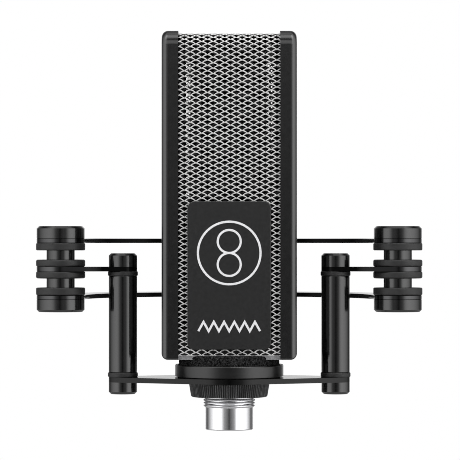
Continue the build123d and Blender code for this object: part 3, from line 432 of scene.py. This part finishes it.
# How far an opening's edge lies below its cell's, and how deep its wall goes.
STRAND_RIDGE = 0.07 * MM
STRAND_DEPTH = 0.12 * MM
SCREEN_ROWS = 171
SCREEN_DIAMOND_W = 3.4 * MM
SCREEN_STRAND_DEPTH = 0.2 * MM
SCREEN_INSET = 1.8 * MM
# Inset and start angle of the near-black sheet of painted shade under the grille's top.
TOP_STRIP_INSET = 0.4 * MM
TOP_STRIP_TURN = math.radians(38)
# Gap and slits of the near-black sheet of painted shade behind the fine screen.
SHADE_SHEET_GAP = 0.38 * MM
SHADE_SHEET_SLIT_INNER = 15.2 * MM
SHADE_SHEET_SLIT_OUTER = 17.2 * MM
SHEET_STATIONS = 160
# Places that round to the same number of these steps share one point.
STEPS_PER_METRE = 1e7
# Opening of one diamond cell, as parts of the cell's half width and half height.
WIDE_OPENING = [
    (0.72, 0.22), (0.48, 0.72), (0.0, 0.84), (-0.48, 0.72),
    (-0.72, 0.22), (-0.34, -0.30), (0.0, -0.86), (0.34, -0.30),
]
SMALL_OPENING = [(0.85 * u, 0.85 * v) for u, v in WIDE_OPENING]
CELL = [(1, 0), (0.5, 0.5), (0, 1), (-0.5, 0.5), (-1, 0), (-0.5, -0.5), (0, -1), (0.5, -0.5)]


def roll_path(distance, inset):
    """Place and outward direction along the sheet: up the front, over the top, down the back."""
    radius = GRILLE_ROLL_R - inset
    front = grille_low.y + inset
    back = grille_high.y - inset
    top = grille_high.z - inset
    rise = top - radius - grille_low.z
    bend = radius * math.pi / 2
    flat = back - front - 2 * radius
    if distance < rise:
        return front, grille_low.z + distance, -1.0, 0.0
    distance -= rise
    if distance < bend:
        sine, cosine = math.sin(distance / radius), math.cos(distance / radius)
        return front + radius - radius * cosine, top - radius + radius * sine, -cosine, sine
    distance -= bend
    if distance < flat:
        return front + radius + distance, top, 0.0, 1.0
    distance -= flat
    if distance < bend:
        sine, cosine = math.sin(distance / radius), math.cos(distance / radius)
        return back - radius + radius * sine, top - radius + radius * cosine, sine, cosine
    distance -= bend
    return back, top - radius - distance, 1.0, 0.0


def path_length(inset):
    """Length of the sheet's path from the front's foot to the back's foot."""
    radius = GRILLE_ROLL_R - inset
    rise = grille_high.z - inset - radius - grille_low.z
    return 2 * rise + math.pi * radius + (grille_high.y - grille_low.y - 2 * inset - 2 * radius)


def dark_sheet(name, inset, strips, material):
    """Smooth strips of sheet along the same path, used here as dark sheets of painted shade.

    A strip is its left and right edges and the distances where it starts and ends."""
    points, faces = [], []
    for left, right, first, last in strips:
        start = len(points)
        for index in range(SHEET_STATIONS + 1):
            y, z, _, _ = roll_path(first + (last - first) * index / SHEET_STATIONS, inset)
            points.append((left, y, z))
            points.append((right, y, z))
        for index in range(SHEET_STATIONS):
            near = start + 2 * index
            faces.append((near, near + 1, near + 3, near + 2))
    return make_piece(name, points, faces, material)


def expanded_sheet(name, inset, rows, diamond_w, column_x, opening, depth, material):
    """Sheet of staggered diamond cells, each a frame of metal round its opening."""
    height = path_length(inset) / rows
    half_w, half_h = diamond_w / 2, height / 2
    left, right = grille_low.x - SIDE_ROOM, grille_high.x + SIDE_ROOM
    points, faces, found = [], [], {}

    def corner(x, distance, level, layer):
        """Number of the point at a place, so far below the sheet's face."""
        key = (
            round(x * STEPS_PER_METRE), round(distance * STEPS_PER_METRE),
            round(level * STEPS_PER_METRE), layer,
        )
        if key not in found:
            y, z, out_y, out_z = roll_path(min(max(distance, 0), rows * height), inset)
            found[key] = len(points)
            points.append((x, y - out_y * level, z - out_z * level))
        return found[key]

    def loop(x, middle, shape, level, layer=0):
        """Numbers of the points round a shape in one cell."""
        return [corner(x + u * half_w, middle + v * half_h, level, layer) for u, v in shape]

    def join(*pairs):
        """Adds the faces between the two loops of each pair."""
        for n in range(len(CELL)):
            m = (n + 1) % len(CELL)
            for first, second in pairs:
                faces.append((first[n], first[m], second[m], second[n]))

    for row in range(2 * rows + 1):
        middle = row * half_h
        shift = (row % 2) * half_w
        column = math.ceil((left - half_w - column_x - shift) / diamond_w)
        while column_x + shift + column * diamond_w < right + half_w:
            x = column_x + shift + column * diamond_w
            column += 1
            if x - half_w < left or x + half_w > right:
                continue
            join((loop(x, middle, CELL, 0), loop(x, middle, opening, STRAND_RIDGE)))
            join(
                (loop(x, middle, opening, STRAND_RIDGE, 1), loop(x, middle, opening, depth, 1)),
                (loop(x, middle, opening, depth, 2), loop(x, middle, CELL, depth + STRAND_RIDGE, 2)),
            )
    return make_piece(name, points, faces, material)


grille = expanded_sheet(
    "expanded_grille", 0, DIAMOND_ROWS, DIAMOND_W, DIAMOND_COLUMN_X, WIDE_OPENING, STRAND_DEPTH, nickel_painted_sheen
)
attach(grille, "microphone")
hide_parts("outer_grille")

screen = expanded_sheet(
    "fine_screen",
    SCREEN_INSET,
    SCREEN_ROWS,
    SCREEN_DIAMOND_W,
    0,
    SMALL_OPENING,
    SCREEN_STRAND_DEPTH,
    screen_steel,
)
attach(screen, "microphone")
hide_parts("inner_screen")

# Painted shade: a near-black sheet behind the fine screen darkens the grille's openings, with two narrow
# slits near its sides above the badge's height.
shade_sheet_inset = SCREEN_INSET + SHADE_SHEET_GAP
shade_sheet_length = path_length(shade_sheet_inset)
slit_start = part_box("badge_plate")[1].z - grille_low.z
slit_end = shade_sheet_length - slit_start
shade_sheet = dark_sheet(
    "screen_shade_sheet",
    shade_sheet_inset,
    [
        (grille_low.x, grille_high.x, 0, slit_start),
        (grille_low.x, -SHADE_SHEET_SLIT_OUTER, slit_start, slit_end),
        (-SHADE_SHEET_SLIT_INNER, SHADE_SHEET_SLIT_INNER, slit_start, slit_end),
        (SHADE_SHEET_SLIT_OUTER, grille_high.x, slit_start, slit_end),
        (grille_low.x, grille_high.x, slit_end, shade_sheet_length),
    ],
    shade_sheet_black,
)
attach(shade_sheet, "microphone")
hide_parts("inner_screen")

# Painted shade: a near-black sheet just under the grille's top roll darkens the openings there.
front_rise = grille_high.z - GRILLE_ROLL_R - grille_low.z
strip_start = front_rise + TOP_STRIP_TURN * (GRILLE_ROLL_R - TOP_STRIP_INSET)
strip_end = path_length(TOP_STRIP_INSET) - strip_start
top_strip = dark_sheet(
    "top_shade_strip", TOP_STRIP_INSET, [(grille_low.x, grille_high.x, strip_start, strip_end)], shade_sheet_black
)
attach(top_strip, "microphone")
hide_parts("outer_grille")

# ---------------------------------------------------------------- knurled ring nut
RIDGES = 108
RIDGE_DEPTH = 0.34 * MM
# Share of the depth that the wall is cut back on each side of one ridge and its groove.
RIDGE_SHAPE = (0, 0.55, 1, 0.55)
NUT_LEVELS = 7
nut_low, nut_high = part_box("ring_nut")
nut_middle = ((nut_low.x + nut_high.x) / 2, (nut_low.y + nut_high.y) / 2)
nut_top_r = (nut_high.x - nut_low.x) / 2
NUT_TAPER = 0.8 * MM
NUT_EDGE = 0.7 * MM
NUT_EDGE_TURNS = (15, 40, 65, 90)
NUT_TOP_EDGE = 0.25 * MM
NUT_TOP_ROOM = 0.3 * MM
NUT_BORE_R = 10.4 * MM
# Points at the start of the outline, on the bore and the foot, that the ridges leave alone.
NUT_PLAIN_POINTS = 3


def nut_outline():
    """Section of the tapered nut with soft edges, bore first."""
    foot_r = nut_top_r - NUT_TAPER - NUT_EDGE
    wall_h = nut_high.z - nut_low.z - NUT_EDGE - NUT_TOP_ROOM
    outline = [(NUT_BORE_R, nut_high.z), (NUT_BORE_R, nut_low.z), (foot_r - NUT_EDGE, nut_low.z)]
    for turn in NUT_EDGE_TURNS:
        angle = math.radians(turn)
        edge_z = nut_low.z + NUT_EDGE - NUT_EDGE * math.cos(angle)
        outline.append((foot_r + NUT_EDGE * math.sin(angle), edge_z))
    for step in range(1, NUT_LEVELS):
        share = step / NUT_LEVELS
        outline.append((nut_top_r - NUT_TAPER * (1 - share), nut_low.z + NUT_EDGE + wall_h * share))
    outline.append((nut_top_r, nut_high.z - NUT_TOP_EDGE))
    outline.append((nut_top_r - NUT_TOP_EDGE, nut_high.z))
    return outline


def ridge_ripple(index, side):
    """Cuts the wall back between ridges, and leaves the bore and the foot plain."""
    if index < NUT_PLAIN_POINTS:
        return 0
    return -RIDGE_DEPTH * RIDGE_SHAPE[side % len(RIDGE_SHAPE)]


# Painted shade: near-black in the nut's grooves, fading out towards the ridges.
paint_groove_shade(nut_black, nut_middle, RIDGES, grey(0.001))
nut_points, nut_faces = lathe_mesh(nut_outline(), RIDGES * len(RIDGE_SHAPE), nut_middle, ridge_ripple)
nut = make_piece("knurled_ring_nut", nut_points, nut_faces, nut_black)
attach(nut, "ring_nut")
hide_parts("ring_nut")

# ---------------------------------------------------------------- rubber rings
RING_SIDES = 96
RING_ROUND = 0.7 * MM
RING_HOLE_R = 4.5 * MM
for level, upper in (("upper", True), ("lower", False)):
    low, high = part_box(f"{level}_damping_rings")
    reach = (high.y - low.y) / 2
    for hand, x in (("left", low.x + reach), ("right", high.x - reach)):
        outline = rounded_ring_outline(RING_HOLE_R, reach, low.z, high.z, RING_ROUND)
        points, faces = lathe_mesh(outline, RING_SIDES, (x, (low.y + high.y) / 2))
        ring = make_piece(f"{level}_damping_ring_{hand}", points, faces, rubber_black)
        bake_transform(ring)
        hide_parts(f"{level}_damping_rings")

# ---------------------------------------------------------------- foam pad
FOAM_VOXEL = 0.5 * MM
FOAM_SEED = Vector((3.1, 7.7, 1.9))
FOAM_ROUGHNESS = 0.16 * MM
# Taken off the lumps' noise, so that the skin only moves inwards.
FOAM_INWARD = 0.8
# Scales in cycles for each metre.
FOAM_BROAD_LUMPS = 900
FOAM_FINE_LUMPS = 2100
FOAM_CELLS = 1500
FOAM_STRUTS = 1400
FOAM_CELL_DEPTH = 0.4 * MM
FOAM_STRUT_DEPTH = 0.2 * MM


def foam_material():
    """Open-cell foam: black patches of painted shade for its cells, between soft pale struts."""
    material, tree, shader = new_material("open_cell_foam")
    position = object_position(tree)
    cells = add_node(tree, "ShaderNodeTexVoronoi", Scale=FOAM_CELLS)
    tree.links.new(position, cells.inputs["Vector"])
    struts = noise_value(tree, position, FOAM_STRUTS, detail=4, roughness=0.8)
    # Painted shade: black where the noise is low stands in for the shade in the foam's cells; the struts
    # keep the foam's own dark grey.
    colour = colour_blend(tree, struts, grey(0.0), grey(0.050), start=0.44, end=0.60)
    tree.links.new(colour, shader.inputs["Base Color"])
    shader.inputs["Roughness"].default_value = 0.95
    shader.inputs["Specular IOR Level"].default_value = 0.1
    add_bump(tree, shader, cells.outputs["Distance"], strength=0.9, distance=FOAM_CELL_DEPTH)
    add_bump(tree, shader, struts, strength=0.6, distance=FOAM_STRUT_DEPTH)
    return material


def even_mesh(piece):
    """Mesh of a piece remade from even voxels."""
    remesh = piece.modifiers.new("even", "REMESH")
    remesh.mode = "VOXEL"
    remesh.voxel_size = FOAM_VOXEL
    depsgraph = bpy.context.evaluated_depsgraph_get()
    mesh = bpy.data.meshes.new_from_object(piece.evaluated_get(depsgraph))
    piece.modifiers.clear()
    return mesh


def roughen(mesh):
    """Softens a mesh's edges and pits its skin."""
    work = bmesh.new()
    work.from_mesh(mesh)
    bmesh.ops.smooth_vert(
        work, verts=work.verts, factor=0.5, use_axis_x=True, use_axis_y=True, use_axis_z=True
    )
    work.normal_update()
    for vert in work.verts:
        broad = noise.noise(vert.co * FOAM_BROAD_LUMPS + FOAM_SEED)
        fine = noise.noise(vert.co * FOAM_FINE_LUMPS + FOAM_SEED)
        vert.co += vert.normal * (broad + 0.5 * fine - FOAM_INWARD) * FOAM_ROUGHNESS
    work.to_mesh(mesh)
    work.free()
    mesh.polygons.foreach_set("use_smooth", [True] * len(mesh.polygons))


def foam_piece():
    """Voxel-remeshed pad with an uneven skin, inside its CAD solid."""
    mesh = nodes["foam_pad"].data.copy()
    piece = bpy.data.objects.new("foam_cushion", mesh)
    bpy.context.scene.collection.objects.link(piece)
    mesh.materials.clear()
    mesh.materials.append(foam_material())
    piece.data = even_mesh(piece)
    roughen(piece.data)
    return piece


foam = foam_piece()
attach(foam, "microphone")
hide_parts("foam_pad")

# ---------------------------------------------------------------- floor, light and camera
FLOOR_DROP = 0.25
FLOOR_SIZE = 4.8
FLOOR_GLOW = 0.42
# Edges of a side panel: how far to the side, and how far behind the microphone.
SIDE_NEAR = Vector((0.27, -1.05))
SIDE_FAR = Vector((1.38, 0.95))
# Share of the glow by place across a side panel, from its near edge to its far edge.
SIDE_PROFILE = [
    (0.0, 0.0), (0.07, 0.02), (0.12, 0.16), (0.16, 0.45), (0.20, 0.74), (0.25, 0.96), (0.32, 1.0),
    (0.45, 0.80), (0.52, 0.62), (0.62, 0.42), (0.72, 0.26), (0.85, 0.12), (1.0, 0.05),
]
SIDE_LENGTH = 3.3
# Above the spools, so that the lower edge clears the floor.
SIDE_MIDDLE_Z = 1.445
LEFT_RADIANCE = 1.55
RIGHT_RADIANCE = 1.85
OVERHEAD_REACH = 0.6
OVERHEAD_LENGTH = 1.0
# Each panel over the front: name, lowest and highest elevation in degrees, radiance.
OVERHEAD = [("low_overhead", 14, 36, 0.8), ("high_overhead", 52, 80, 1.1)]
AIM_RISE = 0.02
# Radiance of the surroundings, each list by one part of a direction's unit vector.
BACKDROP = [(-1.0, 0.01), (0.2, 0.01), (0.5, 0.04), (0.86, 0.25), (0.93, 1.0), (1.0, 1.0)]
ZENITH = [(-1.0, 0.0), (0.8, 0.0), (0.94, 0.6), (1.0, 0.7)]
FRONT_SHARE = [(-1.0, 1.0), (-0.94, 1.0), (-0.80, 0.0), (1.0, 0.0)]
FRONT_ACROSS = [(0.0, 0.0), (0.04, 0.01), (0.11, 0.12), (0.20, 0.16), (0.29, 0.24), (1.0, 0.24)]
FRONT_UPWARD = [(-1.0, 0.01), (-0.10, 0.01), (0.0, 0.03), (0.08, 0.12), (0.2, 0.2), (1.0, 0.2)]
# The camera in metres from the microphone and above the spools, and its upward tilt in degrees.
CAMERA_SIDE = 0.0003
CAMERA_DISTANCE = 1.047
CAMERA_RISE = 0.01105
CAMERA_TILT = 0.238
CAMERA_LENS = 207.4
CAMERA_SENSOR = 36
# Narrower than the usual pixel filter, so that the fine mesh stays crisp.
PIXEL_FILTER = 0.9


def floor_material():
    """Pale, slightly mottled matt floor, with a glow that lifts its shade and lights nothing."""
    material = finish_material(
        "pale_floor", (0.50, 0.50, 0.50), (0.53, 0.53, 0.53), 0.0, 0.7, 0.8, 300, 0.05
    )
    tree = material.node_tree
    shader = tree.nodes["Principled BSDF"]
    shader.inputs["Emission Color"].default_value = (1, 1, 1, 1)
    seen = add_node(tree, "ShaderNodeLightPath").outputs["Is Camera Ray"]
    tree.links.new(mapped(tree, seen, 0, FLOOR_GLOW), shader.inputs["Emission Strength"])
    return material


def make_floor():
    """Plain floor under the object."""
    half = FLOOR_SIZE / 2
    height = cad_low.z - FLOOR_DROP
    near, far = mic_y - half, mic_y + half
    corners = [(-half, near, height), (half, near, height), (half, far, height), (-half, far, height)]
    floor = make_piece("floor", corners, [(0, 1, 2, 3)], floor_material())


def graded(tree, value, stops):
    """Value turned into a radiance along a list of (value, radiance) stops."""
    lowest, highest = stops[0][0], stops[-1][0]
    ramp = add_node(tree, "ShaderNodeValToRGB")
    marks = ramp.color_ramp.elements
    while len(marks) < len(stops):
        marks.new(0.5)
    for mark, (place, radiance) in zip(marks, stops):
        mark.position = (place - lowest) / (highest - lowest)
        mark.color = (radiance, radiance, radiance, 1)
    tree.links.new(mapped(tree, value, 0, 1, lowest, highest), ramp.inputs["Fac"])
    return ramp.outputs["Color"]


def grade_light(light, profile):
    """Varies a panel's glow from its near edge to its far edge."""
    light.use_nodes = True
    tree = light.node_tree
    place = separated(tree, add_node(tree, "ShaderNodeNewGeometry").outputs["Parametric"])
    tree.links.new(graded(tree, place["X"], profile), tree.nodes["Emission"].inputs["Strength"])


def make_panel(name, near, far, length, radiance, profile=None):
    """Soft rectangular light between two edge points, facing the microphone.

    near and far lie in the plane across the panel's long edges."""
    light = bpy.data.lights.new(name, "AREA")
    if profile:
        grade_light(light, profile)
    light.shape = "RECTANGLE"
    width = (far - near).length
    light.size = width
    light.size_y = length
    light.energy = radiance * math.pi * width * length
    panel = bpy.data.objects.new(name, light)
    bpy.context.scene.collection.objects.link(panel)
    panel.location = (near + far) / 2
    across = (far - near).normalized()
    level = near.z == far.z
    aim = Vector((0, mic_y, panel.location.z if level else link_z + AIM_RISE))
    toward = aim - panel.location
    inward = (toward - across * toward.dot(across)).normalized()
    axes = Matrix((across, (-inward).cross(across), -inward)).transposed()
    panel.rotation_mode = "QUATERNION"
    panel.rotation_quaternion = axes.to_quaternion()
    panel.visible_camera = False


def overhead_point(elevation):
    """Point over the front at an elevation seen from the microphone's top, in degrees."""
    angle = math.radians(elevation)
    top = Vector((0, mic_y, grille_high.z))
    return top + OVERHEAD_REACH * Vector((0, -math.cos(angle), math.sin(angle)))


def make_lights():
    """Two tall side panels and two panels over the front."""
    for name, side, radiance in (("left_softbox", -1, LEFT_RADIANCE), ("right_softbox", 1, RIGHT_RADIANCE)):
        near = Vector((side * SIDE_NEAR.x, mic_y + SIDE_NEAR.y, link_z + SIDE_MIDDLE_Z))
        far = Vector((side * SIDE_FAR.x, mic_y + SIDE_FAR.y, link_z + SIDE_MIDDLE_Z))
        make_panel(name, near, far, SIDE_LENGTH, radiance, SIDE_PROFILE)
    for name, low, high, radiance in OVERHEAD:
        make_panel(name, overhead_point(low), overhead_point(high), OVERHEAD_LENGTH, radiance)


def make_world():
    """White to the camera; to the object, a bright backdrop and zenith, a dim front and dark sides."""
    world = bpy.data.worlds.new("studio")
    bpy.context.scene.world = world
    world.use_nodes = True
    tree = world.node_tree
    background = tree.nodes["Background"]
    background.inputs["Color"].default_value = (1, 1, 1, 1)
    way = separated(tree, add_node(tree, "ShaderNodeTexCoord").outputs["Generated"])
    across = graded(tree, combined(tree, "ABSOLUTE", way["X"]), FRONT_ACROSS)
    upward = graded(tree, way["Z"], FRONT_UPWARD)
    share = graded(tree, way["Y"], FRONT_SHARE)
    front = combined(tree, "MULTIPLY", combined(tree, "ADD", across, upward), share)
    behind = combined(tree, "ADD", front, graded(tree, way["Y"], BACKDROP))
    glow = combined(tree, "ADD", behind, graded(tree, way["Z"], ZENITH))
    choice = add_node(tree, "ShaderNodeMix", data_type="FLOAT")
    seen = add_node(tree, "ShaderNodeLightPath").outputs["Is Camera Ray"]
    tree.links.new(seen, choice.inputs[NUMBER_SHARE])
    tree.links.new(glow, choice.inputs[NUMBER_AT_0])
    choice.inputs[NUMBER_AT_1].default_value = 1
    tree.links.new(choice.outputs[NUMBER_RESULT], background.inputs["Strength"])


def make_camera():
    """Long lens level with the spools."""
    data = bpy.data.cameras.new("camera")
    data.sensor_width = CAMERA_SENSOR
    data.lens = CAMERA_LENS
    camera = bpy.data.objects.new("camera", data)
    bpy.context.scene.collection.objects.link(camera)
    camera.location = (CAMERA_SIDE, mic_y - CAMERA_DISTANCE, link_z + CAMERA_RISE)
    camera.rotation_euler = (math.radians(90 + CAMERA_TILT), 0, 0)
    bpy.context.scene.camera = camera


make_floor()
make_lights()
make_world()
make_camera()
bpy.context.scene.view_settings.view_transform = "Standard"
bpy.context.scene.cycles.filter_width = PIXEL_FILTER
